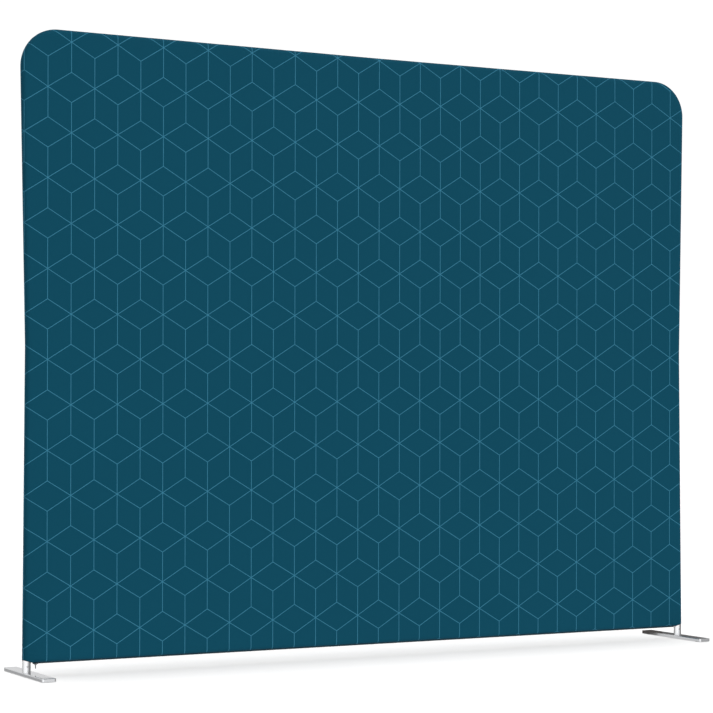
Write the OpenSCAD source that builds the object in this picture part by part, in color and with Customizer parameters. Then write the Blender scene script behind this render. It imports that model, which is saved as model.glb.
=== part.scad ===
// Fabric room divider: a printed stretch sleeve zipped over a frame of
// plug-together aluminium tubes, standing on two flat bar feet.
// X runs along the wall, -Y is the front, Z is up, and z = 0 is the floor.
// The origin is on the floor, midway between the feet.

/* [Wall] */
// Width across the fitted sleeve at the posts' feet
wall_w = 2500; // [1800:10:3000]
// Overall height above the floor
wall_h = 2000; // [1700:2:2300]
// Height of the sleeve's zip tape above the floor
hem_h = 40.5; // [38:0.5:80]
// Inward bow that the sleeve's tension gives each side
side_bow = 10; // [0:0.5:14]
// Distance that each upper corner stands out past the post's foot
top_spread = 5; // [0:0.5:8]
// Sag of the top tubes at their centre joint
top_sag = 3; // [0:0.5:8]
// Height of the joint in each side
side_joint_h = 1020; // [700:10:1300]

/* [Tubes] */
// Outer diameter of the frame tubes
tube_od = 26; // [25:0.5:32]
// Wall of the frame tubes
tube_wall = 1.5; // [1:0.1:2]
// Centreline radius of the two top bends
bend_r = 107; // [80:1:150]
// Straight leg at each end of a bend
leg_l = 150; // [100:5:200]
// Radius that a tube loses where it is bent
bend_draw = 0.05; // [0.02:0.01:0.1]
// Outer diameter of the centre pole
pole_od = 25; // [22:0.5:26]
// Wall of the centre pole
pole_wall = 1.5; // [1:0.1:2]
// Gap left at each tube end
end_gap = 0.3; // [0.2:0.1:1]

/* [Joiners] */
// Length of a joiner's plug inside its tube
plug_l = 60; // [52:1:80]
// Wall of a joiner's plug
plug_wall = 2; // [1.5:0.1:2.5]
// Radial clearance of a plug in its tube
plug_fit = 0.05; // [0.03:0.01:0.1]
// Width of the collar between two tubes
collar_w = 3; // [2:0.5:6]
// Solid core of a plug next to its collar
plug_core = 5; // [3:0.5:8]
// Length of the rail stub's collar past the post
stub_collar = 5; // [4:0.5:8]
// Width of a centre tee between its tubes
tee_w = 36; // [32:1:50]

/* [Snap buttons] */
// Diameter of a snap button
button_d = 6.5; // [5:0.5:8]
// Height of a snap button above its tube
button_out = 1.5; // [1:0.1:2]
// Radial clearance of a button in its holes
button_fit = 0.25; // [0.15:0.05:0.4]
// Distance from a collar to its snap button
button_at = 36; // [28:1:42]
// Width of the clip that carries a button
clip_w = 8; // [6:0.5:9]
// Thickness of the clip's strip
clip_t = 0.6; // [0.4:0.1:0.8]
// Length of the clip past its button
clip_tail = 8; // [5:1:9]
// Distance that a button moves in
button_travel = 3.2; // [3:0.1:4]

/* [Rivets and screws] */
// Diameter of a tube rivet
rivet_d = 4; // [3:0.5:5]
// Diameter of a rivet's head
rivet_head_d = 8; // [6:0.5:10]
// Thickness of a rivet's head
rivet_head_t = 1.2; // [0.8:0.1:2]
// Distance from a collar to its rivet
rivet_at = 30; // [20:1:40]
// Radial clearance of rivets and screws
screw_fit = 0.05; // [0.03:0.01:0.1]
// Diameter of the rail screw and the foot screws
screw_d = 6; // [5:0.5:6]
// Diameter of the rail screw's head
screw_head_d = 10; // [8.5:0.5:10]
// Height of the rail screw's head
screw_head_h = 6; // [4:0.5:6]
// Length of the rail screw under its head
rail_screw_l = 12; // [10:0.5:12]

/* [Feet] */
// Length of a foot, across the wall
foot_l = 350; // [250:10:500]
// Width of a foot
foot_w = 45; // [40:1:60]
// Thickness of a foot's bar
foot_t = 10; // [8:0.5:12]
// Radius of the foot's corners in plan
foot_corner_r = 6; // [3:0.5:12]
// Radius along the foot's top edges
foot_edge_r = 2.5; // [1:0.5:4]
// Distance from the post to the foot's middle
foot_inset = 10; // [6:0.5:12]
// Height of the stub that the post slips over
stub_h = 34; // [30:0.5:36]
// Radial clearance of the stub in the post
stub_fit = 0.3; // [0.25:0.05:0.5]
// Solid base of the stub
stub_base = 10; // [8:0.5:12]
// Height of the snap button above the foot
foot_button_h = 19.5; // [18:0.5:24]
// Length of the clip past the foot's button
foot_clip_tail = 7; // [5:0.5:8]
// Half the distance between a foot's two screws
foot_screw_y = 6; // [5.5:0.5:7]
// Length of a foot screw
foot_screw_l = 18; // [14:0.5:18]
// Head diameter of a foot screw
foot_screw_head_d = 11; // [9:0.5:11]
// Thickness of a rubber pad
pad_t = 2; // [1:0.5:4]
// Diameter of a rubber pad
pad_d = 32; // [20:1:36]
// Distance from a foot's end to a pad's centre
pad_end = 30; // [22:1:50]

/* [Sleeve] */
// Thickness of the stretch fabric
fabric_t = 0.6; // [0.4:0.1:1]
// Gap between the fabric and the tubes
fabric_gap = 0.3; // [0.25:0.05:0.5]
// Height of the hem at the outer side of a post, above the zip tape
hem_rise = 12.5; // [8:0.5:20]
// Height of the hem beside a post, above the zip tape
hem_cut = 4.5; // [2:0.5:7]
// Distance over which the hem runs under the rail
hem_run = 7; // [6:0.5:20]
// Angle at which the fabric ends under the rail
hem_angle = 60; // [50:1:66]
// Angle by which the zip tape laps over the fabric
lap_angle = 8; // [4:1:12]

/* [Zip] */
// Thickness of the zip tape
tape_t = 0.5; // [0.4:0.1:0.8]
// Half width of the slit between the tapes
slit = 0.9; // [0.8:0.1:1.2]
// Half width of the flat stretch of the tapes
tape_flat = 5; // [4.6:0.1:5.5]
// Width of each half of the zip's coil
coil_w = 2.2; // [1.8:0.1:2.6]
// Height of the zip's coil
coil_h = 1.8; // [1.4:0.1:2.4]
// Running clearance round the slider
zip_clear = 0.3; // [0.25:0.05:0.4]
// Length of a zip stop
stop_l = 2; // [1.5:0.5:4]
// Length of the slider
slider_l = 13; // [11:0.5:16]
// Thickness of the slider's plates
slider_plate = 0.8; // [0.6:0.1:1]
// Thickness of the slider's side walls
slider_wall = 1.2; // [0.8:0.1:1.6]
// Length of the slider's divider
divider_l = 3; // [2:0.5:4]
// Diameter of the pull's crossbar
crossbar_d = 1.5; // [1.2:0.1:1.8]
// Width of the bail that holds the pull
bail_w = 2; // [1.6:0.1:2.4]
// Thickness of the bail
bail_t = 1.2; // [1:0.1:1.6]
// Length of the bail along the zip
bail_l = 8; // [7:0.5:9]
// Length of the pull below its crossbar
pull_l = 15; // [12:0.5:16]
// Width of the pull
pull_w = 5.6; // [5.2:0.1:7]

/* [Hidden] */
$fn = 64;

// Colours
metal = "#d9dbdd";
dark_metal = "#8d9196";
plastic = "#3a3c3f";
teal = "#134b5e";
dark_teal = "#0f3442";
eps = 0.5;

// Length by which a bend's straight legs run into its arc
bend_lap = 0.2;

// Radii
tube_r = tube_od / 2;
bore_r = tube_r - tube_wall;
pole_r = pole_od / 2;
pole_bore_r = pole_r - pole_wall;
sleeve_r = tube_r + fabric_gap + fabric_t;

// Heights of the zip, from the rail down to the floor side of the slider
rail_z = hem_h + tape_t + 2 * zip_clear + slider_plate + tube_r;
plate_top_z = rail_z - tube_r - zip_clear;
tape_top_z = plate_top_z - slider_plate - zip_clear;
tape_bottom_z = tape_top_z - tape_t;
coil_bottom_z = tape_bottom_z - coil_h;
slider_floor_z = coil_bottom_z - zip_clear;
bail_top_z = slider_floor_z - slider_plate;

// Axes of the left half of the frame, as [x, z] points; the right half mirrors it
foot_top = pad_t + foot_t;
axis_x = wall_w / 2 - sleeve_r;
axis_top = wall_h - sleeve_r;
post = [-axis_x, foot_top];
side_mid = [-axis_x + side_bow, side_joint_h];
bend_c = [-axis_x - top_spread + bend_r, axis_top - bend_r];
top_mid = [0, axis_top - top_sag];
rail_mid = [0, rail_z];

// Leans of the tubes, in degrees
lower_lean = atan2(side_mid.x - post.x, side_mid.y - post.y);
upper_lean = atan2(bend_c.y - side_mid.y, bend_c.x - side_mid.x)
    - acos(bend_r / norm(bend_c - side_mid));
top_tilt = asin(bend_r / norm(top_mid - bend_c))
    - atan2(top_mid.y - bend_c.y, top_mid.x - bend_c.x);
bend_angle = 90 + upper_lean + top_tilt;
up_dir = [-sin(upper_lean), cos(upper_lean)];
top_dir = [cos(top_tilt), -sin(top_tilt)];
bend_low = bend_c - bend_r * [cos(upper_lean), sin(upper_lean)] - leg_l * up_dir;
bend_high = bend_c + bend_r * [sin(top_tilt), cos(top_tilt)] + leg_l * top_dir;

function side_x(z) = post.x + (z - post.y) * tan(lower_lean);
rail_end = [side_x(rail_z), rail_z];
rail_start = [-axis_x + tube_r + stub_collar, rail_z];

// Bores of the plugs, and how far the flat clip stands off its tube's axis
plug_r = bore_r - plug_fit;
plug_bore_r = plug_r - plug_wall;
pole_plug_r = pole_bore_r - plug_fit;
pole_plug_bore_r = pole_plug_r - plug_wall;
stub_r = bore_r - stub_fit;
stub_bore_r = stub_r - plug_wall;
function clip_x(bore) = sqrt(pow(bore - 0.3, 2) - pow(clip_w / 2, 2));

// Places along a plug, measured from the middle of its collar
collar_half = collar_w / 2;
tee_half = tee_w / 2;
clip_start = plug_core + 2;

// Places along the zip
hem_start = -axis_x + tube_r + 0.8;
zip_start = hem_start + hem_run;
slider_x = zip_start + stop_l + zip_clear + slider_l / 2;
pull_axis_z = bail_top_z - crossbar_d / 2 - zip_clear;

module at(p, ang, spin = 0) {
    translate([p.x, 0, p.y]) rotate([0, ang, 0]) rotate([0, 0, spin]) children();
}

module left_right() {
    children();
    mirror([1, 0, 0]) children();
}

// A rod along X, from x0 to x1
module rod_x(r, x0, x1) {
    translate([x0, 0, 0]) rotate([0, 90, 0]) cylinder(r = r, h = x1 - x0);
}

// A tube from p to q, cut short by a gap at each end
module tube(p, q, r, wall, gap_p, gap_q) {
    len = norm(q - p);
    at(p, atan2(q.x - p.x, q.y - p.y)) difference() {
        translate([0, 0, gap_p]) cylinder(r = r, h = len - gap_p - gap_q);
        translate([0, 0, -eps]) cylinder(r = r - wall, h = len + 2 * eps);
    }
}

// Hole for a button on the +X side of a tube, z up from the collar
module button_hole(z, r) {
    translate([0, 0, z]) rod_x(button_d / 2 + button_fit, r / 3, r + 2);
}

module rivet_hole(r) {
    translate([0, 0, rivet_at]) rod_x(rivet_d / 2 + screw_fit, r / 3, r + 2);
}

// A blind plug along +Z that starts at z0 and ends at z1
module plug(r, wall, z0, z1, core) {
    difference() {
        translate([0, 0, z0]) cylinder(r = r, h = z1 - z0);
        translate([0, 0, core]) cylinder(r = r - wall, h = z1 - core + eps);
    }
}

module snap_plug(r, wall, z0, z1, core) {
    difference() {
        plug(r, wall, z0, z1, core);
        button_hole(button_at, r);
    }
}

module rivet_plug(r, wall, z0, z1, core) {
    difference() {
        plug(r, wall, z0, z1, core);
        rivet_hole(r);
    }
}

// A snap button with the strip that carries it: button at z, strip from z0 to z1
module snap_button(z, z0, z1, bore, r) {
    x = clip_x(bore);
    button_r = button_d / 2;
    tip = r + button_out;
    round = min(button_out, button_r) * 0.8;
    color(dark_metal) union() {
        translate([x - clip_t, -clip_w / 2, z0]) cube([clip_t, clip_w, z1 - z0]);
        translate([0, 0, z]) rotate([0, 90, 0]) rotate_extrude() polygon([
            [0, x - clip_t / 2], [button_r, x - clip_t / 2], [button_r, tip - round],
            [button_r - round * 0.3, tip - round * 0.3], [button_r - round, tip], [0, tip]]);
    }
}

// The fixed half of the clip: a strip along the far wall and its fold at z0
module clip_spring(z0, z1, bore) {
    x = clip_x(bore);
    translate([-x, -clip_w / 2, z0 - clip_t]) cube([clip_t, clip_w, z1 - z0 + clip_t]);
    translate([-x, -clip_w / 2, z0 - 0.3 - clip_t]) cube([2 * x, clip_w, clip_t]);
}

module plug_button(bore, r, shift = 0) {
    snap_button(button_at + shift, clip_start + shift, button_at + clip_tail + shift, bore, r);
}

module plug_spring(bore, shift = 0) {
    clip_spring(clip_start + shift, button_at + clip_tail + shift, bore);
}

// A blind rivet through a tube and a plug, on their +X side
module rivet(r, bore) {
    tail = sqrt(pow(bore, 2) - pow(rivet_d * 0.7, 2)) - 0.1;
    translate([0, 0, rivet_at]) {
        rod_x(rivet_d / 2, tail - 1.6, r + rivet_head_t / 2);
        rod_x(rivet_d * 0.7, tail - 1.6, tail);
        rod_x(rivet_head_d / 2, r, r + rivet_head_t * 0.6);
        rod_x(rivet_head_d * 0.35, r, r + rivet_head_t);
    }
}

// Side tubes
module side_tube_lower_left() {
    color(metal) difference() {
        tube(post, side_mid, tube_r, tube_wall, end_gap, collar_half + end_gap);
        at(post, 0, -90) button_hole(foot_button_h, tube_r);
        at(side_mid, 180 + lower_lean, 180) rivet_hole(tube_r);
        at(rail_end, 90) rail_screw_hole();
        at(rail_end, -90) cylinder(r = screw_head_d / 2 + 0.75, h = tube_r + 2);
    }
}

module rail_screw_hole() {
    cylinder(r = screw_d / 2 + 0.2, h = tube_r + 2);
}

module side_tube_lower_right() {
    mirror([1, 0, 0]) side_tube_lower_left();
}

module side_tube_upper_left() {
    color(metal) difference() {
        tube(side_mid, bend_low, tube_r, tube_wall, collar_half + end_gap, collar_half + end_gap);
        at(side_mid, -upper_lean) button_hole(button_at, tube_r);
        at(bend_low, 180 - upper_lean, 180) rivet_hole(tube_r);
    }
}

module side_tube_upper_right() {
    mirror([1, 0, 0]) side_tube_upper_left();
}

// Corner bends: a quarter turn with a straight leg at each end
module bend_body(r, over) {
    translate([bend_c.x, 0, bend_c.y]) rotate([90, 0, 0]) rotate([0, 0, 90 - top_tilt])
        rotate_extrude(angle = bend_angle, $fn = 128) translate([bend_r, 0]) circle(r = r - bend_draw, $fn = 64);
    at(bend_low, -upper_lean) translate([0, 0, collar_half + end_gap - over])
        cylinder(r = r, h = leg_l - collar_half - end_gap + over + bend_lap);
    at(bend_high, top_tilt - 90) translate([0, 0, collar_half + end_gap - over])
        cylinder(r = r, h = leg_l - collar_half - end_gap + over + bend_lap);
}

module corner_bend_left() {
    color(metal) difference() {
        bend_body(tube_r, 0);
        bend_body(bore_r, eps);
        at(bend_low, -upper_lean) button_hole(button_at, tube_r);
        at(bend_high, top_tilt - 90, 180) rivet_hole(tube_r);
    }
}

module corner_bend_right() {
    mirror([1, 0, 0]) corner_bend_left();
}

// Top tubes
module top_tube_left() {
    color(metal) difference() {
        tube(bend_high, top_mid, tube_r, tube_wall, collar_half + end_gap, tee_half + end_gap);
        at(bend_high, 90 + top_tilt) button_hole(button_at, tube_r);
        at(top_mid, top_tilt - 90, 180) translate([0, 0, tee_half]) rivet_hole(tube_r);
    }
}

module top_tube_right() {
    color(metal) difference() {
        mirror([1, 0, 0])
            tube(bend_high, top_mid, tube_r, tube_wall, collar_half + end_gap, tee_half + end_gap);
        mirror([1, 0, 0]) at(bend_high, 90 + top_tilt) button_hole(button_at, tube_r);
        at(top_mid, 90 - top_tilt) button_hole(tee_half + button_at, tube_r);
    }
}

// Bottom rail
module bottom_tube_left() {
    color(metal) difference() {
        tube(rail_start, rail_mid, tube_r, tube_wall, end_gap, tee_half + end_gap);
        at(rail_start, 90, 180) button_hole(button_at, tube_r);
        at(rail_mid, -90) translate([0, 0, tee_half]) rivet_hole(tube_r);
    }
}

module bottom_tube_right() {
    color(metal) difference() {
        mirror([1, 0, 0]) tube(rail_start, rail_mid, tube_r, tube_wall, end_gap, tee_half + end_gap);
        mirror([1, 0, 0]) at(rail_start, 90, 180) button_hole(button_at, tube_r);
        at(rail_mid, 90, 180) button_hole(tee_half + button_at, tube_r);
    }
}

// Centre pole, in two lengths that stand between the two tees
pole_low = rail_mid + [0, tube_r + 2];
pole_high = top_mid - [0, tube_r + 2];
pole_mid = (pole_low + pole_high) / 2;

module centre_pole_lower() {
    color(metal) difference() {
        tube(pole_low, pole_mid, pole_r, pole_wall, end_gap, collar_half + end_gap);
        at(pole_mid, 180, 180) rivet_hole(pole_r);
    }
}

module centre_pole_upper() {
    color(metal) difference() {
        tube(pole_mid, pole_high, pole_r, pole_wall, collar_half + end_gap, end_gap);
        at(pole_mid, 0) button_hole(button_at, pole_r);
    }
}

// A joiner between two tubes: angles of its riveted plug and its snap plug
module joiner(rivet_ang, snap_ang, rivet_spin, r, collar_r) {
    color(plastic) union() {
        rotate([0, (rivet_ang - 180 + snap_ang) / 2, 0])
            translate([0, 0, -collar_half]) cylinder(r = collar_r, h = collar_w);
        rotate([0, rivet_ang, 0]) rotate([0, 0, rivet_spin])
            rivet_plug(r, plug_wall, 0.5, plug_l, plug_core);
        rotate([0, snap_ang, 0]) snap_plug(r, plug_wall, 0.5, plug_l, plug_core);
    }
}

module side_joiner_left() {
    at(side_mid, 0) joiner(180 + lower_lean, -upper_lean, 180, plug_r, tube_r);
}

module side_joiner_right() {
    mirror([1, 0, 0]) side_joiner_left();
}

module bend_side_joiner_left() {
    at(bend_low, -upper_lean) joiner(180, 0, 180, plug_r, tube_r);
}

module bend_side_joiner_right() {
    mirror([1, 0, 0]) bend_side_joiner_left();
}

module bend_top_joiner_left() {
    at(bend_high, 90 + top_tilt) joiner(180, 0, 180, plug_r, tube_r);
}

module bend_top_joiner_right() {
    mirror([1, 0, 0]) bend_top_joiner_left();
}

module pole_joiner() {
    at(pole_mid, 0) joiner(180, 0, 180, pole_plug_r, pole_r);
}

// A centre tee: a riveted plug, a snap plug and a short plug for the pole
module tee(rivet_ang, snap_ang, rivet_spin, snap_spin, pole_ang) {
    core = tee_half + plug_core;
    end = tee_half + plug_l;
    color(plastic) union() {
        translate([-tee_half, 0, 0]) rotate([0, 90, 0]) cylinder(r = tube_r, h = tee_w);
        rotate([0, rivet_ang, 0]) rotate([0, 0, rivet_spin]) difference() {
            plug(plug_r, plug_wall, tee_half - 1, end, core);
            translate([0, 0, tee_half]) rivet_hole(plug_r);
        }
        rotate([0, snap_ang, 0]) rotate([0, 0, snap_spin]) difference() {
            plug(plug_r, plug_wall, tee_half - 1, end, core);
            button_hole(tee_half + button_at, plug_r);
        }
        rotate([0, pole_ang, 0]) {
            cylinder(r = pole_r, h = tube_r + 2);
            plug(pole_plug_r, plug_wall, tube_r, tube_r + plug_l, tube_r + plug_core);
        }
    }
}

module top_tee() {
    at(top_mid, 0) tee(top_tilt - 90, 90 - top_tilt, 180, 0, 180);
}

module bottom_tee() {
    at(rail_mid, 0) tee(-90, 90, 0, 180, 0);
}

// The rail stub is screwed to the side tube from inside that tube
module rail_stub_left() {
    stub_core = rail_start.x - rail_end.x + plug_core;
    color(plastic) difference() {
        at(rail_end, 90) union() {
            cylinder(r = tube_r, h = rail_start.x - rail_end.x);
            rotate([0, 0, 180]) translate([0, 0, rail_start.x - rail_end.x])
                snap_plug(plug_r, plug_wall, -1, plug_l, plug_core);
        }
        at(rail_end, 90) cylinder(r = screw_d / 2 + screw_fit, h = stub_core + 1);
        at(post, lower_lean) cylinder(r = tube_r + 0.1, h = rail_z + plug_l);
    }
}

module rail_stub_right() {
    mirror([1, 0, 0]) rail_stub_left();
}

module rail_screws() {
    head_x = sqrt(pow(bore_r, 2) - pow(screw_head_d / 2, 2)) - 0.1;
    color(dark_metal) left_right() at(rail_end, 90) difference() {
        union() {
            translate([0, 0, head_x - eps]) cylinder(r = screw_d / 2, h = rail_screw_l + eps);
            translate([0, 0, head_x - screw_head_h]) cylinder(r = screw_head_d / 2, h = screw_head_h);
        }
        translate([0, 0, head_x - screw_head_h - eps]) cylinder(r = screw_d * 0.48, h = screw_head_h / 2 + eps, $fn = 6);
    }
}

// Clips and their buttons
module clip_springs() {
    color(dark_metal) {
        left_right() {
            at(post, 0, -90) clip_spring(stub_base + 1.5, foot_button_h + foot_clip_tail, stub_bore_r);
            at(rail_start, 90, 180) plug_spring(plug_bore_r);
            at(side_mid, -upper_lean) plug_spring(plug_bore_r);
            at(bend_low, -upper_lean) plug_spring(plug_bore_r);
            at(bend_high, 90 + top_tilt) plug_spring(plug_bore_r);
        }
        at(top_mid, 90 - top_tilt) plug_spring(plug_bore_r, tee_half);
        at(rail_mid, 90, 180) plug_spring(plug_bore_r, tee_half);
        at(pole_mid, 0) plug_spring(pole_plug_bore_r);
    }
}

module foot_button_left() {
    at(post, 0, -90)
        snap_button(foot_button_h, stub_base + 1.5, foot_button_h + foot_clip_tail, stub_bore_r, tube_r);
}

module foot_button_right() {
    mirror([1, 0, 0]) foot_button_left();
}

module rail_button_left() {
    at(rail_start, 90, 180) plug_button(plug_bore_r, tube_r);
}

module rail_button_right() {
    mirror([1, 0, 0]) rail_button_left();
}

module side_button_left() {
    at(side_mid, -upper_lean) plug_button(plug_bore_r, tube_r);
}

module side_button_right() {
    mirror([1, 0, 0]) side_button_left();
}

module bend_side_button_left() {
    at(bend_low, -upper_lean) plug_button(plug_bore_r, tube_r);
}

module bend_side_button_right() {
    mirror([1, 0, 0]) bend_side_button_left();
}

module bend_top_button_left() {
    at(bend_high, 90 + top_tilt) plug_button(plug_bore_r, tube_r);
}

module bend_top_button_right() {
    mirror([1, 0, 0]) bend_top_button_left();
}

module top_tee_button() {
    at(top_mid, 90 - top_tilt) plug_button(plug_bore_r, tube_r, tee_half);
}

module bottom_tee_button() {
    at(rail_mid, 90, 180) plug_button(plug_bore_r, tube_r, tee_half);
}

module pole_button() {
    at(pole_mid, 0) plug_button(pole_plug_bore_r, pole_r);
}

module tube_rivets() {
    color(metal) {
        left_right() {
            at(side_mid, 180 + lower_lean, 180) rivet(tube_r, plug_bore_r);
            at(bend_low, 180 - upper_lean, 180) rivet(tube_r, plug_bore_r);
            at(bend_high, top_tilt - 90, 180) rivet(tube_r, plug_bore_r);
        }
        at(top_mid, top_tilt - 90, 180) translate([0, 0, tee_half]) rivet(tube_r, plug_bore_r);
        at(rail_mid, -90) translate([0, 0, tee_half]) rivet(tube_r, plug_bore_r);
        at(pole_mid, 180, 180) rivet(pole_r, pole_plug_bore_r);
    }
}

// Feet
module foot_plan(r) {
    square([foot_w - 2 * r, foot_l], center = true);
    square([foot_w, foot_l - 2 * r], center = true);
    for (x = [-1, 1], y = [-1, 1])
        translate([x * (foot_w / 2 - r), y * (foot_l / 2 - r)]) circle(r = r);
}

// Bar section with rounded top edges, from z = 0 up
module bar_section(w, h, r) {
    translate([-w / 2, 0]) square([w, h - r]);
    translate([r - w / 2, 0]) square([w - 2 * r, h]);
    for (x = [-1, 1]) translate([x * (w / 2 - r), h - r]) circle(r = r);
}

module foot_plate_left() {
    color(metal) translate([foot_inset - axis_x, 0, pad_t]) difference() {
        intersection() {
            linear_extrude(foot_t) foot_plan(foot_corner_r);
            translate([0, foot_l / 2 + 1, 0]) rotate([90, 0, 0])
                linear_extrude(foot_l + 2) bar_section(foot_w, foot_t, foot_edge_r);
            translate([-foot_w / 2 - 1, 0, 0]) rotate([90, 0, 90])
                linear_extrude(foot_w + 2) bar_section(foot_l, foot_t, foot_edge_r);
        }
        translate([-foot_inset, 0, 0]) foot_screw_places() {
            translate([0, 0, -eps]) cylinder(r = screw_d / 2 + 0.2, h = foot_t + 2 * eps);
            translate([0, 0, -eps]) screw_cone(0.2 + eps, eps);
        }
    }
}

module foot_plate_right() {
    mirror([1, 0, 0]) foot_plate_left();
}

module foot_screw_places() {
    for (y = [-1, 1]) translate([0, y * foot_screw_y, 0]) children();
}

// Countersunk head, wide end down
module screw_cone(grow, drop) {
    r = foot_screw_head_d / 2;
    rise = r - screw_d / 2;
    cylinder(r1 = r + grow, r2 = screw_d / 2, h = rise + grow + drop);
}

module foot_screws() {
    color(dark_metal) left_right() translate([-axis_x, 0, pad_t + 0.2]) foot_screw_places() difference() {
        union() {
            cylinder(r = screw_d / 2, h = foot_screw_l);
            cylinder(r1 = foot_screw_head_d / 2 - 0.3, r2 = screw_d / 2, h = (foot_screw_head_d - screw_d) / 2 - 0.3);
        }
        translate([0, 0, -eps]) cylinder(r = screw_d * 0.33, h = 2.2 + eps, $fn = 6);
    }
}

module foot_stub_left() {
    color(metal) translate([-axis_x, 0, foot_top]) difference() {
        cylinder(r = stub_r, h = stub_h);
        translate([0, 0, stub_base]) cylinder(r = stub_bore_r, h = stub_h);
        rotate([0, 0, -90]) button_hole(foot_button_h, stub_r);
        foot_screw_places() translate([0, 0, -eps])
            cylinder(r = screw_d / 2 + screw_fit, h = foot_screw_l + 0.7 - foot_t + eps);
    }
}

module foot_stub_right() {
    mirror([1, 0, 0]) foot_stub_left();
}

module foot_pads() {
    color("#1c1c1e") left_right() for (y = [-1, 1])
        translate([foot_inset - axis_x, y * (foot_l / 2 - pad_end), 0]) cylinder(d = pad_d, h = pad_t);
}

// Sleeve panel: rings of points, each from the flat face round to the hem or the seam.
// Every point is [place, outward normal] on the outer surface.
K = 6;
arc_steps = 16;
seam_angle = 89.5;

function wrap(p, n, last) = [for (j = [0:K]) let (a = last * j / K)
    [[p.x + n.x * sleeve_r * sin(a), -sleeve_r * cos(a), p.y + n.y * sleeve_r * sin(a)],
     [n.x * sin(a), -cos(a), n.y * sin(a)]]];

// The lowest side ring follows the slanting hem round the post
hem_out_z = tape_bottom_z + hem_rise;
hem_in_z = tape_bottom_z + hem_cut;
function hem_z(x) = hem_out_z
    + (hem_in_z - hem_out_z) * (x - (-axis_x - sleeve_r)) / (hem_start - (-axis_x - sleeve_r));
post_ring = [for (q = wrap([side_x(hem_out_z), 0], [-1, 0], seam_angle))
    [[q[0].x, q[0].y, hem_z(q[0].x)], q[1]]];

// Under the rail the fabric goes from flat (bend 0) to wrapped (bend 1)
flat_drop = rail_z - hem_in_z;
full_drop = sleeve_r * hem_angle * PI / 180;
function rail_ring(t) = let (x = hem_start + t * hem_run, k = max(t, 0.001) / sleeve_r,
        drop = flat_drop + (full_drop - flat_drop) * t)
    [for (j = [0:K]) let (s = drop * j / K, a = k * s * 180 / PI)
        [[x, (1 - cos(a)) / k - sleeve_r, rail_z - sin(a) / k], [0, -cos(a), -sin(a)]]];

bend_m = 1 / cos(bend_angle / arc_steps / 2);
bend_rings = [for (i = [0:arc_steps]) let (a = 180 + upper_lean - bend_angle * i / arc_steps,
        n = [cos(a), sin(a)] * bend_m) wrap(bend_c + bend_r * n, n, seam_angle)];

function flip(ring) = [for (q = ring) [[-q[0].x, q[0].y, q[0].z], [-q[1].x, q[1].y, q[1].z]]];
function reversed(list) = [for (i = [len(list) - 1:-1:0]) list[i]];

left_rings = concat(
    [post_ring, wrap(rail_end, [-1, 0], seam_angle), wrap(side_mid, [-1, 0], seam_angle)],
    bend_rings);
edge_rings = concat(left_rings, [wrap(top_mid, [0, 1], seam_angle)],
    reversed([for (ring = left_rings) flip(ring)]));
hem_left = [for (t = [0, 1 / 3, 2 / 3, 1]) rail_ring(t)];
hem_rings = concat(hem_left, reversed([for (ring = hem_left) flip(ring)]));

n1 = len(edge_rings);
n2 = len(hem_rings);
hub = (n1 + n2) * (K + 1);
function e(i, j) = i * (K + 1) + j;
function h(i, j) = (n1 + i) * (K + 1) + j;

function skin_points(depth) = concat(
    [for (ring = edge_rings) for (q = ring) q[0] - depth * q[1]],
    [for (ring = hem_rings) for (q = ring) q[0] - depth * q[1]],
    [[0, depth - sleeve_r, wall_h / 2]]);

face_loop = concat([for (i = [1:n1 - 2]) e(i, 0)], [for (i = [n2 - 1:-1:0]) h(i, 0)]);
skin_faces = concat(
    [for (i = [0:n1 - 2], j = [0:K - 1]) each [
        [e(i, j), e(i + 1, j + 1), e(i + 1, j)], [e(i, j), e(i, j + 1), e(i + 1, j + 1)]]],
    [for (i = [0:n2 - 2], j = [0:K - 1]) each [
        [h(i, j), h(i + 1, j), h(i + 1, j + 1)], [h(i, j), h(i + 1, j + 1), h(i, j + 1)]]],
    [for (i = [0:len(face_loop) - 1])
        [hub, face_loop[i], face_loop[(i + 1) % len(face_loop)]]],
    [for (j = [0:K - 1]) [e(1, 0), h(0, j), h(0, j + 1)]],
    [[e(1, 0), h(0, K), e(0, 0)]],
    [for (j = [0:K - 1]) [e(n1 - 2, 0), h(n2 - 1, j + 1), h(n2 - 1, j)]],
    [[e(n1 - 2, 0), e(n1 - 1, 0), h(n2 - 1, K)]]);

rim = concat([for (i = [0:n1 - 1]) e(i, K)], [for (j = [K - 1:-1:0]) e(n1 - 1, j)],
    [for (i = [n2 - 1:-1:0]) h(i, K)], [for (j = [0:K - 1]) e(0, j)]);
rim_faces = [for (i = [0:len(rim) - 1]) let (a = rim[i], b = rim[(i + 1) % len(rim)],
        n = hub + 1) each [[a, a + n, b + n], [a, b + n, b]]];

module sleeve_front() {
    color(teal) polyhedron(
        points = concat(skin_points(0), skin_points(fabric_t)),
        faces = concat(skin_faces,
            [for (f = skin_faces) [f[0] + hub + 1, f[2] + hub + 1, f[1] + hub + 1]],
            rim_faces),
        convexity = 6);
}

module sleeve_back() {
    mirror([0, 1, 0]) sleeve_front();
}

// Zip: two tapes, two coil halves, stops, slider and pull
lap_r = sleeve_r + 0.1;
function lap_arc(r, a0, a1) = [for (i = [0:3]) let (a = a0 + (a1 - a0) * i / 3)
    [-r * cos(a), rail_z - r * sin(a)]];

module zip_tape_front() {
    color(dark_teal) translate([zip_start, 0, 0]) rotate([90, 0, 90]) linear_extrude(-2 * zip_start)
        polygon(concat(
            lap_arc(lap_r, hem_angle - lap_angle, hem_angle + 2),
            [[-tape_flat, tape_top_z], [-slit, tape_top_z], [-slit, tape_bottom_z],
             [-tape_flat - tape_t / 2, tape_bottom_z]],
            lap_arc(lap_r + tape_t, hem_angle + 2, hem_angle - lap_angle)));
}

module zip_tape_back() {
    mirror([0, 1, 0]) zip_tape_front();
}

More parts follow.
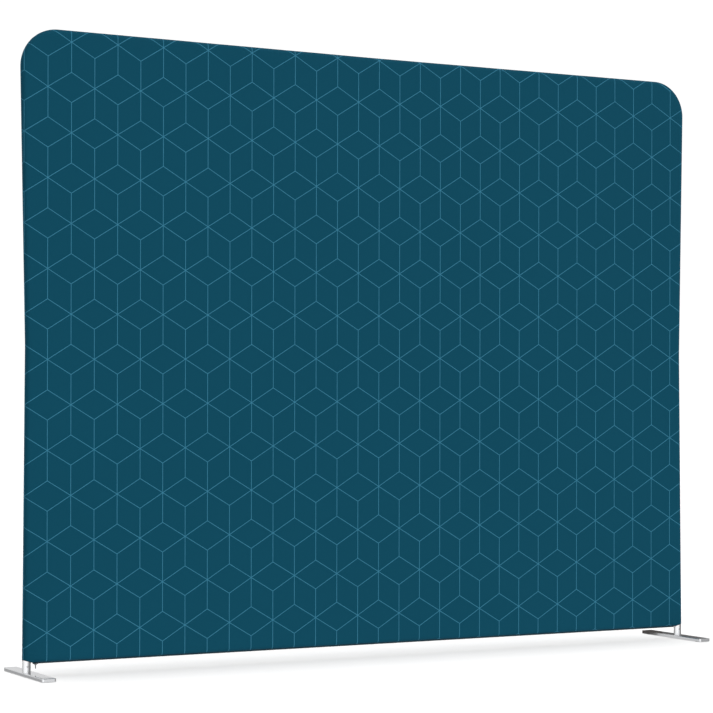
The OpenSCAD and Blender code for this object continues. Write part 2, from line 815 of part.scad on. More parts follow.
module zip_coil_front() {
    x0 = zip_start + stop_l;
    color(dark_teal) translate([x0, -slit - coil_w, coil_bottom_z]) cube([-2 * x0, coil_w, coil_h]);
}

module zip_coil_back() {
    mirror([0, 1, 0]) zip_coil_front();
}

module zip_stops() {
    color(dark_metal) left_right() translate([zip_start, -slit - coil_w, coil_bottom_z])
        cube([stop_l, 2 * (slit + coil_w), coil_h]);
}

// Centred box from z0 to z1
module block(l, w, z0, z1) {
    translate([-l / 2, -w / 2, z0]) cube([l, w, z1 - z0]);
}

module zip_slider() {
    inner = slit + coil_w + zip_clear;
    outer = inner + slider_wall;
    bar_z = pull_axis_z - crossbar_d / 2 - zip_clear;
    color(dark_metal) translate([slider_x, 0, 0]) union() {
        block(slider_l, 2 * inner, plate_top_z - slider_plate, plate_top_z);
        translate([(slider_l - divider_l) / 2, 0, 0])
            block(divider_l, 2 * (slit - zip_clear), bail_top_z, plate_top_z);
        block(slider_l, 2 * outer, bail_top_z, slider_floor_z);
        for (y = [-1, 1]) translate([0, y * (inner + slider_wall / 2), 0])
            block(slider_l, slider_wall, bail_top_z, tape_bottom_z - zip_clear);
        for (x = [-1, 1]) translate([x * (bail_l - bail_t) / 2, 0, 0])
            block(bail_t, bail_w, bar_z - bail_t, bail_top_z);
        block(bail_l, bail_w, bar_z - bail_t, bar_z);
    }
}

module zip_pull() {
    arm = bail_w / 2 + zip_clear;
    neck = bail_l / 2 + 0.6;
    color(dark_metal) translate([slider_x, 0, pull_axis_z]) union() {
        rotate([90, 0, 0]) translate([0, 0, -pull_w / 2]) cylinder(d = crossbar_d, h = pull_w);
        for (y = [-1, 1]) translate([-crossbar_d / 2, y > 0 ? arm : -pull_w / 2, -neck - 1])
            cube([crossbar_d, pull_w / 2 - arm, neck + 1]);
        translate([-crossbar_d / 2, 0, crossbar_d - pull_l]) rotate([90, 0, 90]) linear_extrude(crossbar_d) {
            translate([-pull_w / 2, pull_w / 2]) square([pull_w, pull_l - crossbar_d - neck - pull_w / 2]);
            translate([0, pull_w / 2]) circle(r = pull_w / 2);
        }
    }
}

side_tube_lower_left();
side_tube_lower_right();
side_tube_upper_left();
side_tube_upper_right();
corner_bend_left();
corner_bend_right();
top_tube_left();
top_tube_right();
bottom_tube_left();
bottom_tube_right();
centre_pole_lower();
centre_pole_upper();
side_joiner_left();
side_joiner_right();
bend_side_joiner_left();
bend_side_joiner_right();
bend_top_joiner_left();
bend_top_joiner_right();
top_tee();
bottom_tee();
pole_joiner();
rail_stub_left();
rail_stub_right();
clip_springs();
tube_rivets();
rail_screws();
foot_plate_left();
foot_plate_right();
foot_stub_left();
foot_stub_right();
foot_screws();
foot_pads();
foot_button_left();
foot_button_right();
rail_button_left();
rail_button_right();
side_button_left();
side_button_right();
bend_side_button_left();
bend_side_button_right();
bend_top_button_left();
bend_top_button_right();
top_tee_button();
bottom_tee_button();
pole_button();
sleeve_front();
sleeve_back();
zip_tape_front();
zip_tape_back();
zip_coil_front();
zip_coil_back();
zip_stops();
zip_slider();
zip_pull();
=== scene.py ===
"""Looks of the fabric room divider: a printed stretch sleeve over a plug-together tube frame on two bar feet.

Metres; X along the wall, -Y to the viewer, +Z up, the floor at z = 0.
"""
import math

import bpy
import numpy as np
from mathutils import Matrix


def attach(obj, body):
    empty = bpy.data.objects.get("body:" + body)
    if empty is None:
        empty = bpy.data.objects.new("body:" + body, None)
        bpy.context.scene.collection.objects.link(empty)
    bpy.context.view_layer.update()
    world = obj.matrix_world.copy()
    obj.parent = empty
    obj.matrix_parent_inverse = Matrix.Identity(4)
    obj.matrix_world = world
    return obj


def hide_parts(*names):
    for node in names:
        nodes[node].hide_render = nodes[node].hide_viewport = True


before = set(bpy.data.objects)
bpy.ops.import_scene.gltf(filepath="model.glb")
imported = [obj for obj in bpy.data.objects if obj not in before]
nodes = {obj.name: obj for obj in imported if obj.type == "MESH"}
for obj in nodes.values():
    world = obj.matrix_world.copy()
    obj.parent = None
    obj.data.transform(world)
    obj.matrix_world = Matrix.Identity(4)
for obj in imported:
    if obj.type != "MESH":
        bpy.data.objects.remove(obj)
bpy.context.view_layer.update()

# Real sizes, the same as the construction's
MM = 0.001
AXIS_X = 1236.1 * MM          # side tubes' axis at the floor
RAIL_Z = 55.4 * MM            # bottom rail's axis
FOOT_TOP = 12 * MM
SLEEVE_R = 13.9 * MM          # outer radius of the sleeve round a tube
FABRIC_T = 0.6 * MM
SIDE_MID = np.array([-1226.1, 1020]) * MM
BEND_C = np.array([-1134.1, 1879.1]) * MM
BEND_R = 107 * MM
UPPER_LEAN = math.radians(1.00138)
LOWER_LEAN = math.radians(0.568392)
TOP_TILT = math.radians(0.151581)
TOP_MID = np.array([0, 1983.1]) * MM
HEM_START = -1222.3 * MM      # the hem turns under the rail from here
HEM_RUN = 7 * MM
HEM_OUT_Z = 52 * MM           # hem at the outer side of a post
HEM_IN_Z = 44 * MM            # hem beside a post
HEM_ANGLE = math.radians(60)  # how far the fabric goes round the rail
TAPE_Z = 40.5 * MM            # underside of the zip tapes
TAPE_T = 0.5 * MM
TAPE_FLAT = 5 * MM
SLIT = 0.9 * MM
ZIP_START = -1215.3 * MM
STOP_L = 2 * MM


# ---- Camera, at the photograph's angle ----
FOCAL_PX, FRAME_PX = 2193.6, 713
AXIS_PX = (356.5, 411.03)     # where the camera's level axis meets the picture
CENTRE_PX = (FRAME_PX - 1) / 2
CAMERA_AT, CAMERA_TURN = (-3.5485, -6.4234, 0.8161), -28.37
cam_data = bpy.data.cameras.new("camera")
cam_data.sensor_width = 36
cam_data.lens = FOCAL_PX / FRAME_PX * cam_data.sensor_width
cam_data.shift_x = -(AXIS_PX[0] - CENTRE_PX) / FRAME_PX
cam_data.shift_y = (AXIS_PX[1] - CENTRE_PX) / FRAME_PX
cam_data.clip_start, cam_data.clip_end = 0.05, 200
camera = bpy.data.objects.new("camera", cam_data)
camera.location = CAMERA_AT
camera.rotation_euler = (math.radians(90), 0, math.radians(CAMERA_TURN))
bpy.context.scene.collection.objects.link(camera)
bpy.context.scene.camera = camera
bpy.context.scene.view_settings.view_transform = "Standard"


# ---- Materials ----
class Graph:
    """A material and short calls for its nodes. Constants go straight on the shader's own sockets."""

    def __init__(self, name, **constants):
        self.material = bpy.data.materials.new(name)
        self.material.use_nodes = True
        self.tree = self.material.node_tree
        self.shader = self.tree.nodes["Principled BSDF"]
        for key, value in constants.items():
            self.shader.inputs[key.replace("_", " ")].default_value = value

    def add(self, kind, **settings):
        node = self.tree.nodes.new(kind)
        for key, value in settings.items():
            setattr(node, key, value)
        return node

    def feed(self, socket, value):
        if isinstance(value, bpy.types.NodeSocket):
            self.tree.links.new(value, socket)
        else:
            socket.default_value = value

    def math(self, operation, *values):
        node = self.add("ShaderNodeMath", operation=operation)
        for socket, value in zip(node.inputs, values):
            self.feed(socket, value)
        return node.outputs[0]

    def sum(self, *values):
        total = values[0]
        for value in values[1:]:
            total = self.math("ADD", total, value)
        return total

    def place(self, scale=(1, 1, 1), kind="Object"):
        """Coordinates in metres, scaled."""
        source = self.add("ShaderNodeTexCoord")
        mapping = self.add("ShaderNodeMapping")
        mapping.inputs["Scale"].default_value = scale
        self.feed(mapping.inputs["Vector"], source.outputs[kind])
        return mapping.outputs[0]

    def noise(self, scale, place=None, detail=2.0):
        node = self.add("ShaderNodeTexNoise")
        node.inputs["Scale"].default_value = scale
        node.inputs["Detail"].default_value = detail
        self.feed(node.inputs["Vector"], place or self.place())
        return node.outputs["Fac"]

    def spread(self, value, low, high, from_low=0.3, from_high=0.7):
        """Maps a noise value to low..high."""
        node = self.add("ShaderNodeMapRange")
        ends = {"From Min": from_low, "From Max": from_high, "To Min": low, "To Max": high}
        for key, number in ends.items():
            node.inputs[key].default_value = number
        self.feed(node.inputs["Value"], value)
        return node.outputs[0]

    def mix(self, factor, a, b):
        node = self.add("ShaderNodeMix", data_type="RGBA")
        self.feed(node.inputs["Factor"], factor)
        self.feed(node.inputs["A"], a)
        self.feed(node.inputs["B"], b)
        return node.outputs["Result"]

    def colour(self, value):
        self.feed(self.shader.inputs["Base Color"], value)

    def rough(self, value):
        self.feed(self.shader.inputs["Roughness"], value)

    def bump(self, height, distance, strength=1.0):
        node = self.add("ShaderNodeBump")
        node.inputs["Strength"].default_value = strength
        node.inputs["Distance"].default_value = distance
        self.feed(node.inputs["Height"], height)
        self.feed(self.shader.inputs["Normal"], node.outputs[0])


def tone(colour, factor):
    return tuple(c * factor for c in colour) + (1,)


def metal(name, colour, rough_low, rough_high, along, grain=900, bump=0.00002):
    """Metal with fine lines along one axis (0, 1 or 2) and faint handling marks."""
    g = Graph(name, Metallic=1.0)
    stretch = [grain] * 3
    stretch[along] = grain * 0.01
    lines = g.noise(1.0, g.place(stretch), 3)
    marks = g.noise(14.0, detail=4)
    g.colour(g.mix(g.spread(lines, 0, 1), tone(colour, 0.93), tone(colour, 1.03)))
    g.rough(g.sum(g.spread(lines, rough_low, rough_high), g.spread(marks, -0.03, 0.03)))
    g.bump(lines, bump, 0.35)
    return g.material


def moulded(name, colour, rough, grain=2500, bump=0.00004, **constants):
    """Plastic, rubber or enamel with a fine moulded grain."""
    g = Graph(name, **constants)
    fine = g.noise(grain, detail=2)
    broad = g.noise(9.0, detail=3)
    g.colour(g.mix(g.spread(broad, 0, 1), tone(colour, 0.85), tone(colour, 1.2)))
    g.rough(g.sum(g.spread(broad, rough - 0.05, rough + 0.05), g.spread(fine, -0.03, 0.03)))
    g.bump(fine, bump, 0.5)
    return g.material


FOOT_COLOUR = (0.80, 0.81, 0.83)
TUBE_COLOUR = (0.86, 0.87, 0.885)
STEEL = (0.55, 0.56, 0.58)
STUB_COLOUR = (0.72, 0.73, 0.75)
NICKEL = (0.66, 0.66, 0.67)
foot_metal = metal("foot_metal", FOOT_COLOUR, 0.07, 0.13, along=1, grain=500)
tube_upright = metal("tube_upright", TUBE_COLOUR, 0.10, 0.17, along=2)
tube_level = metal("tube_level", TUBE_COLOUR, 0.10, 0.17, along=0)
turned = metal("turned_aluminium", STUB_COLOUR, 0.22, 0.32, along=0, grain=1400)
zinc = metal("zinc_steel", STEEL, 0.28, 0.4, along=2, grain=700)
nickel = metal("nickel", NICKEL, 0.16, 0.26, along=0, grain=1600)
joiner_plastic = moulded("joiner_plastic", (0.035, 0.036, 0.038), 0.5)
pad_rubber = moulded("pad_rubber", (0.022, 0.022, 0.022), 0.82, grain=1600, bump=0.00012)


def enamel():
    """Dark enamel, worn bright on high spots."""
    g = Graph("zip_enamel", Metallic=0.9, Coat_Weight=0.4, Coat_Roughness=0.2)
    wear = g.noise(900.0, detail=5)
    worn = g.spread(wear, 0, 1, 0.62, 0.74)
    g.colour(g.mix(worn, (0.085, 0.095, 0.102, 1), (0.40, 0.41, 0.42, 1)))
    g.rough(g.spread(wear, 0.28, 0.45))
    g.bump(wear, 0.00002, 0.4)
    return g.material


zip_enamel = enamel()

# The print: star points of a line pattern of tumbling blocks, in blocks' edges (u across, v down)
EDGE_X, EDGE_Z = 0.09098, 0.09475     # an edge's length across and up the panel
PRINT_U, PRINT_V = 13.0607, 20.9784   # the pattern's place at X = 0, Z = 0
PRINT_SLANT = -0.02391                # columns lean a little
PRINT_EASE = -0.10736                 # the cloth is eased a little more to the right
PRINT_LEAN = 0.04365                  # rows fall a little to the right
PRINT_FAN = 0.10309                   # and more so towards the top
LINE_W = 2.0 * MM                     # printed line
LINE_HALF = LINE_W / 2 / EDGE_X
COLUMN = math.sqrt(3) / 2
GROUND = (0.0040, 0.0640, 0.1060)
LINE = (0.0400, 0.1960, 0.3000)
WALE, LOOP = 0.7 * MM, 0.55 * MM      # the knit's columns and rows of loops


def fabric():
    g = Graph("printed_knit", Roughness=0.92, Specular_IOR_Level=0.04, Sheen_Weight=0.02, Sheen_Roughness=0.5)
    cut = g.add("ShaderNodeUVMap", uv_map="cut").outputs[0]
    split = g.add("ShaderNodeSeparateXYZ")
    g.feed(split.inputs[0], cut)
    x, z = split.outputs[0], split.outputs[1]
    u = g.sum(g.math("MULTIPLY", x, 1 / EDGE_X), g.math("MULTIPLY", g.math("MULTIPLY", x, x), PRINT_EASE),
              g.math("MULTIPLY", z, PRINT_SLANT), PRINT_U)
    v = g.sum(g.math("MULTIPLY", z, -1 / EDGE_Z), g.math("MULTIPLY", x, PRINT_LEAN),
              g.math("MULTIPLY", g.math("MULTIPLY", x, z), PRINT_FAN), PRINT_V)
    # a star sits at u = column, v = 0
    us = g.math("SUBTRACT", u, COLUMN)
    lines = None
    for turn in (0, 60, 120):
        c, s = math.cos(math.radians(turn)), math.sin(math.radians(turn))
        across = g.sum(g.math("MULTIPLY", us, c), g.math("MULTIPLY", v, s))
        along = g.sum(g.math("MULTIPLY", us, -s), g.math("MULTIPLY", v, c))
        column = g.math("ROUND", g.math("DIVIDE", across, COLUMN))
        off = g.math("ABSOLUTE", g.math("SUBTRACT", across, g.math("MULTIPLY", column, COLUMN)))
        shift = g.math("MULTIPLY", column, 1.5)
        reach = g.math("ABSOLUTE", g.math("WRAP", g.math("SUBTRACT", along, shift), 1.5, -1.5))
        on = g.math("MULTIPLY", g.math("LESS_THAN", off, LINE_HALF),
                    g.math("LESS_THAN", reach, 1 + LINE_HALF))
        lines = on if lines is None else g.math("MAXIMUM", lines, on)
    wale = g.math("SINE", g.math("MULTIPLY", x, 2 * math.pi / WALE))
    loop = g.math("SINE", g.sum(g.math("MULTIPLY", z, 2 * math.pi / LOOP), g.math("MULTIPLY", wale, 1.2)))
    knit = g.math("MULTIPLY", g.sum(wale, g.math("MULTIPLY", loop, 0.6)), 0.3)
    broad = g.noise(2.2, g.place(kind="UV"), 3)
    # broad noise gives the cloth a random tone; the knit's loops are made lighter and its hollows darker,
    # painted shade on top of the knit's bump
    tone_and_knit_shade = g.math("MULTIPLY", g.spread(broad, 0.985, 1.015), g.sum(g.math("MULTIPLY", knit, 0.05), 1.0))
    ground = g.mix(lines, tone(GROUND, 1), tone(LINE, 1))
    hsv = g.add("ShaderNodeHueSaturation")
    g.feed(hsv.inputs["Value"], tone_and_knit_shade)
    g.feed(hsv.inputs["Color"], ground)
    g.colour(hsv.outputs[0])
    g.bump(knit, 0.00006, 0.5)
    return g.material


printed_knit = fabric()


def tape_cloth():
    """Woven zip tape: a fine herringbone of dark yarn, painted lighter on its ribs and darker in the grooves
    between them as shade.
    """
    g = Graph("zip_tape_cloth", Roughness=0.85, Specular_IOR_Level=0.1, Sheen_Weight=0.03)
    split = g.add("ShaderNodeSeparateXYZ")
    g.feed(split.inputs[0], g.add("ShaderNodeUVMap", uv_map="cut").outputs[0])
    x, w = split.outputs[0], split.outputs[1]
    zig = g.math("PINGPONG", w, 1.2 * MM)
    rib = g.math("SINE", g.math("MULTIPLY", g.sum(x, zig), 2 * math.pi / (0.8 * MM)))
    # the ribs' tops lighter and the grooves darker: painted shade of the weave
    g.colour(g.mix(g.spread(rib, 0, 1, -1, 1), (0.003, 0.026, 0.042, 1), (0.005, 0.042, 0.066, 1)))
    g.bump(rib, 0.00008, 0.6)
    return g.material


def thread():
    g = Graph("thread", Roughness=0.6, Specular_IOR_Level=0.3, Sheen_Weight=0.2)
    twist = g.noise(1.0, g.place((4000, 1200, 1200)), 1)
    g.colour(g.mix(g.spread(twist, 0, 1), (0.003, 0.03, 0.045, 1), (0.008, 0.065, 0.09, 1)))
    g.bump(twist, 0.00005, 0.5)
    return g.material


tape_material = tape_cloth()
thread_material = thread()
coil_plastic = moulded("coil_plastic", (0.008, 0.022, 0.03), 0.3, grain=5000, bump=0.00001)


# ---- Mesh helpers ----
def piece(name, points, faces, material, uv=None, smooth=True):
    """A mesh piece of the wall; uv is one (u, v) for each point."""
    mesh = bpy.data.meshes.new(name)
    mesh.from_pydata([tuple(p) for p in points], [], [tuple(f) for f in faces])
    if uv is not None:
        layer = mesh.uv_layers.new(name="cut")
        corner = np.empty(len(mesh.loops), dtype=np.int32)
        mesh.loops.foreach_get("vertex_index", corner)
        layer.data.foreach_set("uv", np.asarray(uv, dtype=np.float32)[corner].ravel())
    mesh.polygons.foreach_set("use_smooth", [smooth] * len(mesh.polygons))
    mesh.materials.append(material)
    mesh.update()
    obj = bpy.data.objects.new(name, mesh)
    bpy.context.scene.collection.objects.link(obj)
    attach(obj, "wall")
    return obj


def tube_faces(base, rings, sides, turned):
    """Faces of a closed tube, whose rings of points start at base. turned swaps its inside and outside."""
    faces = []
    for r in range(rings - 1):
        for j in range(sides):
            a, b = base + r * sides + j, base + r * sides + (j + 1) % sides
            faces.append((a, b, b + sides, a + sides))
    faces.append(tuple(range(base, base + sides))[::-1])
    faces.append(tuple(range(base + (rings - 1) * sides, base + rings * sides)))
    return [face[::-1] for face in faces] if turned else faces


# ---- Sleeve ----
def smooth_step(t):
    t = np.clip(t, 0, 1)
    return t * t * (3 - 2 * t)


def side_axis(z):
    """x of the left side tube's axis."""
    z = np.asarray(z, float)
    low = -AXIS_X + (z - FOOT_TOP) * math.tan(LOWER_LEAN)
    high = SIDE_MID[0] - (z - SIDE_MID[1]) * math.tan(UPPER_LEAN)
    return np.where(z < SIDE_MID[1], low, high)


def uneven(count, first, keep, grow, total):
    """count steps that start at first, stay so for keep steps, widen over grow steps, and add up to total."""
    rise = smooth_step((np.arange(count) - keep) / grow)
    widest = (total - first * (1 - rise).sum()) / rise.sum()
    return first * (1 - rise) + widest * rise


HALF_COLUMNS, ARC_STEPS, SIDE_ROWS = 84, 12, 108
arc_start = BEND_C + BEND_R * np.array([-math.cos(UPPER_LEAN), -math.sin(UPPER_LEAN)])
ARC_TURN = math.pi / 2 + UPPER_LEAN + TOP_TILT


def arc_point(t):
    """Place and outward direction on the left bend's centreline, t from 0 at the side to 1 at the top."""
    a = math.pi + UPPER_LEAN - ARC_TURN * t
    n = np.array([math.cos(a), math.sin(a)])
    return BEND_C + BEND_R * n, n


def edge_lines():
    """Left column (from the rail up) and left half of the top row: places and outward directions."""
    side_z = RAIL_Z + np.concatenate([[0], np.cumsum(
        uneven(SIDE_ROWS, first=3.2 * MM, keep=10, grow=24, total=arc_start[1] - RAIL_Z))])
    left = []
    for z in side_z:
        t = smooth_step((z - SIDE_MID[1] + 0.06) / 0.12)
        slope = -LOWER_LEAN * (1 - t) + UPPER_LEAN * t
        left.append((np.array([float(side_axis(z)), z]), np.array([-math.cos(slope), -math.sin(slope)])))
    left += [arc_point(0.5 * (k + 1) / ARC_STEPS) for k in range(ARC_STEPS)]
    top = [arc_point(0.5 + 0.5 * k / ARC_STEPS) for k in range(ARC_STEPS + 1)]
    end = top[-1][0]
    steps = uneven(HALF_COLUMNS - ARC_STEPS, first=7.5 * MM, keep=4, grow=24, total=TOP_MID[0] - end[0])
    for x in end[0] + np.cumsum(steps):
        t = (x - end[0]) / (TOP_MID[0] - end[0])
        tilt = TOP_TILT * (1 - smooth_step((x + 0.04) / 0.04))
        top.append((end + (TOP_MID - end) * t, np.array([math.sin(tilt), math.cos(tilt)])))
    return left, top


left_line, top_line = edge_lines()


def mirrored(line):
    return [(p * (-1, 1), n * (-1, 1)) for p, n in line[::-1]]


top_line = top_line + mirrored(top_line)[1:]
bottom_x = float(side_axis(RAIL_Z)) + np.concatenate([[0], np.cumsum(
    uneven(HALF_COLUMNS, first=2.4 * MM, keep=14, grow=30, total=-float(side_axis(RAIL_Z))))])
bottom_x = np.concatenate([bottom_x, -bottom_x[-2::-1]])
COLUMNS, ROWS = len(bottom_x), len(left_line)
assert len(top_line) == COLUMNS

WRAP = 9            # steps round a tube
DROP = 10           # steps from the rail's axis down to the hem
TUCK = 0.9 * MM     # depth of the valley at the seam
TUCK_ROWS = 2
SEAM_TURN = 88.5    # degrees round a tube at which the cloth leaves it for the seam
PUCKER_FROM, PUCKER_OVER = 55, 30     # degrees round a tube over which the puckers grow


def face_grid():
    """(x, z) of the flat face, blended between its four edges."""
    left = np.array([p for p, _ in left_line])
    right = left * (-1, 1)
    top = np.array([p for p, _ in top_line])
    bottom = np.stack([bottom_x, np.full(COLUMNS, RAIL_Z)], 1)
    s = (bottom_x - bottom_x[0]) / (bottom_x[-1] - bottom_x[0])
    run = np.concatenate([[0], np.cumsum(np.linalg.norm(np.diff(left, axis=0), axis=1))])
    t = run / run[-1]
    s, t = s[:, None, None], t[None, :, None]
    return ((1 - s) * left[None] + s * right[None] + (1 - t) * bottom[:, None] + t * top[:, None]
            - (1 - s) * (1 - t) * bottom[0] - s * (1 - t) * bottom[-1]
            - (1 - s) * t * top[0] - s * t * top[-1])


def hem_height(x):
    """Hem round a post, falling inwards."""
    outer = -AXIS_X - SLEEVE_R
    return HEM_OUT_Z + (HEM_IN_Z - HEM_OUT_Z) * (-np.abs(x) - outer) / (HEM_START - outer)


def hem_column(x, drop_share):
    """(forward, z) of a point under the rail axis at column x; forward is 0 on the flat face."""
    t = float(smooth_step((-abs(x) - HEM_START) / HEM_RUN))
    bend = max(t, 0.001) / SLEEVE_R
    flat = RAIL_Z - max(float(hem_height(x)), HEM_IN_Z)
    length = (flat + (SLEEVE_R * HEM_ANGLE - flat) * t) * drop_share
    angle = bend * length
    return (1 - math.cos(angle)) / bend, RAIL_Z - math.sin(angle) / bend


def wrinkle(x, z):
    """How far the cloth stands off at (x, z): slight pulls from the bottom corners, and a little unevenness."""
    e = AXIS_X + SLEEVE_R - np.abs(x)
    h = z - HEM_IN_Z
    out = np.zeros_like(np.asarray(x, float))
    # height of a pull, slope, half width, length and how far it stands out
    for height, slope, width, reach, size in ((7, 0.16, 2.6, 48, 0.55), (15, 0.22, 3.4, 62, 0.42),
                                              (26, 0.34, 4.5, 70, 0.3), (42, 0.5, 7, 80, 0.22)):
        line = height * MM - slope * (e - 30 * MM) * 0.5
        across, along = (h - line) / (width * MM), (e - 22 * MM) / (reach * MM)
        out += size * MM * np.exp(-across ** 2) * np.exp(-along ** 2)
    edge = smooth_step(e / (60 * MM)) * smooth_step((z - RAIL_Z) / (60 * MM))
    edge = edge * smooth_step((1.96 - z) / 0.1)
    out += 0.12 * MM * edge * np.sin(5.3 * x + 2.1 * z) * np.sin(3.1 * z - 1.7 * x)
    return out


def seam_pucker(run):
    """Fine puckers along a seam."""
    return 0.10 * MM * (np.sin(run / (3.1 * MM)) + 0.6 * np.sin(run / (5.3 * MM) + 1.0))


def sleeve_panel(name, side):
    """side is -1 for the front, 1 for the back."""
    points, cut, faces = [], [], []

    def add(x, y, z, u, v):
        points.append((x, y * side, z))
        cut.append((u, v))
        return len(points) - 1

    flat = face_grid()
    lift = wrinkle(flat[..., 0], flat[..., 1])
    index = np.empty((COLUMNS, ROWS), int)
    for i in range(COLUMNS):
        for j in range(ROWS):
            x, z = flat[i, j]
            index[i, j] = add(x, SLEEVE_R + lift[i, j], z, x, z)

    def quads(a, b, turn=False):
        """Quads between two lines of indices."""
        for k in range(len(a) - 1):
            q = (a[k], a[k + 1], b[k + 1], b[k])
            faces.append(q[::-1] if turn else q)

    front = side < 0
    for i in range(COLUMNS - 1):
        quads(index[i], index[i + 1], front)
    # round the side and top tubes to the seam
    loop = [(index[0, j], *left_line[j]) for j in range(ROWS)]
    loop += [(index[i, -1], *top_line[i]) for i in range(1, COLUMNS)]
    loop += [(index[-1, j], left_line[j][0] * (-1, 1), left_line[j][1] * (-1, 1))
             for j in range(ROWS - 2, -1, -1)]
    run = np.concatenate([[0], np.cumsum([np.linalg.norm(b[1] - a[1]) for a, b in zip(loop, loop[1:])])])
    rings = [[item[0] for item in loop]]
    for k in range(1, WRAP + TUCK_ROWS + 1):
        a = math.radians(SEAM_TURN) * min(k, WRAP) / WRAP
        tucked = max(k - WRAP, 0) / TUCK_ROWS
        share = float(smooth_step((a - math.radians(PUCKER_FROM)) / math.radians(PUCKER_OVER)))
        ring = []
        for (_, p, n), s in zip(loop, run):
            if tucked:
                r = SLEEVE_R - TUCK * tucked
                y = max(r * math.cos(math.radians(SEAM_TURN + 1.4 * tucked)), 0.03 * MM)
            else:
                r = SLEEVE_R + share * float(seam_pucker(s))
                y = r * math.cos(a)
            across = math.sin(a) * r
            lie = SLEEVE_R * a + TUCK * tucked
            x, z = p + n * across
            ring.append(add(x, y, z, *(p + n * lie)))
        quads(rings[-1], ring, not front)
        rings.append(ring)
    # below the rail's axis: round the posts, then under the rail
    left_cols = [[ring[0] for ring in rings[::-1]], [ring[-1] for ring in rings]]
    base = left_cols[0] + [index[i, 0] for i in range(1, COLUMNS - 1)] + left_cols[1]
    rows = [base]
    for step in range(1, DROP + 1):
        share = step / DROP
        row = []
        for b in base:
            x, y, z = points[b]
            y *= side
            u, v = cut[b]
            if abs(x) > -HEM_START:
                low = RAIL_Z + (float(hem_height(x)) - RAIL_Z) * share
                row.append(add(x, y, low, u, v + low - z))
            else:
                back, low = hem_column(x, share)
                row.append(add(x, SLEEVE_R - back, low, u, v - share * SLEEVE_R * HEM_ANGLE))
        quads(rows[-1], row, front)
        rows.append(row)
    obj = piece(name, points, faces, printed_knit, cut)
    thick = obj.modifiers.new("cloth", "SOLIDIFY")
    thick.thickness = FABRIC_T
    thick.offset = -1
    return obj, rows[-1], points


sleeve_front, hem_front, front_points = sleeve_panel("sleeve_front_cloth", -1)
sleeve_back, hem_back, back_points = sleeve_panel("sleeve_back_cloth", 1)
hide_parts("sleeve_front")
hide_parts("sleeve_back")


# ---- Zip: tapes, coil halves, stitches ----
def arc(r, a0, a1, count):
    """(forward, z) round the rail; angle 0 is the flat face, 90 straight down."""
    return [(r * math.cos(a), RAIL_Z - r * math.sin(a)) for a in np.linspace(a0, a1, count)]


def zip_tape(name, side):
    """A woven tape, sewn over the hem and lying flat to the slit, where its edge is corded."""
    lap = SLEEVE_R + 0.1 * MM
    outer = arc(lap + TAPE_T, math.radians(52), math.radians(62), 5)
    inner = arc(lap, math.radians(52), math.radians(62), 5)
    under = [(TAPE_FLAT + TAPE_T / 2, TAPE_Z), (4.2 * MM, TAPE_Z), (3.2 * MM, TAPE_Z),
             (SLIT + 0.4 * MM, TAPE_Z), (SLIT, TAPE_Z + TAPE_T * 0.3)]
    over = [(SLIT, TAPE_Z + TAPE_T * 0.7), (SLIT + 0.4 * MM, TAPE_Z + TAPE_T), (3.2 * MM, TAPE_Z + TAPE_T),
            (TAPE_FLAT, TAPE_Z + TAPE_T)]
    ring = outer + under + over + inner[::-1]
    run = np.concatenate([[0], np.cumsum([math.dist(a, b) for a, b in zip(ring, ring[1:])])])
    xs = np.linspace(ZIP_START, -ZIP_START, 241)
    points, cut = [], []
    for x in xs:
        for (y, z), w in zip(ring, run):
            points.append((x, side * y, z))
            cut.append((x, w))
    faces = tube_faces(0, len(xs), len(ring), turned=side < 0)
    return piece(name, points, faces, tape_material, cut)


def zip_coil(name, side):
    """Half of the coil: rounded hooks 1.5 mm apart with a core cord beside the tape's edge."""
    pitch, wide, near, far = 1.5 * MM, 0.95 * MM, 0.66 * MM, 3.1 * MM
    top, bottom = TAPE_Z - 0.02 * MM, TAPE_Z - 1.8 * MM
    start = ZIP_START + STOP_L
    count = int(round(-2 * start / pitch))
    pitch = -2 * start / count
    head = [(near, 0.35), (near + 0.25 * MM, 0.05), (far - 0.5 * MM, 0.05), (far, 0.4), (far, 0.7),
            (far - 0.4 * MM, 1.0), (near + 0.3 * MM, 1.0), (near, 0.75)]
    round_off, middle = 0.12 * MM, (near + far) / 2
    points, faces = [], []
    for k in range(count):
        x0 = start + k * pitch + (pitch - wide) / 2 + side * 0.125 * pitch
        faces += tube_faces(len(points), 4, len(head), turned=side > 0)
        for share, inset in ((0, round_off), (0.3, 0), (0.7, 0), (1, round_off)):
            for y, h in head:
                points.append((x0 + wide * share, side * (y + (inset if y < middle else -inset)),
                               bottom + (top - bottom) * (0.5 + (h - 0.5) * (1 - inset / (0.9 * MM)))))
    # core cord that the hooks close round
    base, sides, rings = len(points), 6, 121
    mid_y, mid_z, cord_r = 2.0 * MM, TAPE_Z - 0.9 * MM, 0.45 * MM
    for i in range(rings):
        x = start + (-2 * start) * i / (rings - 1)
        for j in range(sides):
            a = 2 * math.pi * j / sides
            points.append((x, side * mid_y + cord_r * math.cos(a), mid_z + cord_r * math.sin(a)))
    faces += tube_faces(base, rings, sides, turned=True)
    return piece(name, points, faces, coil_plastic, smooth=False)


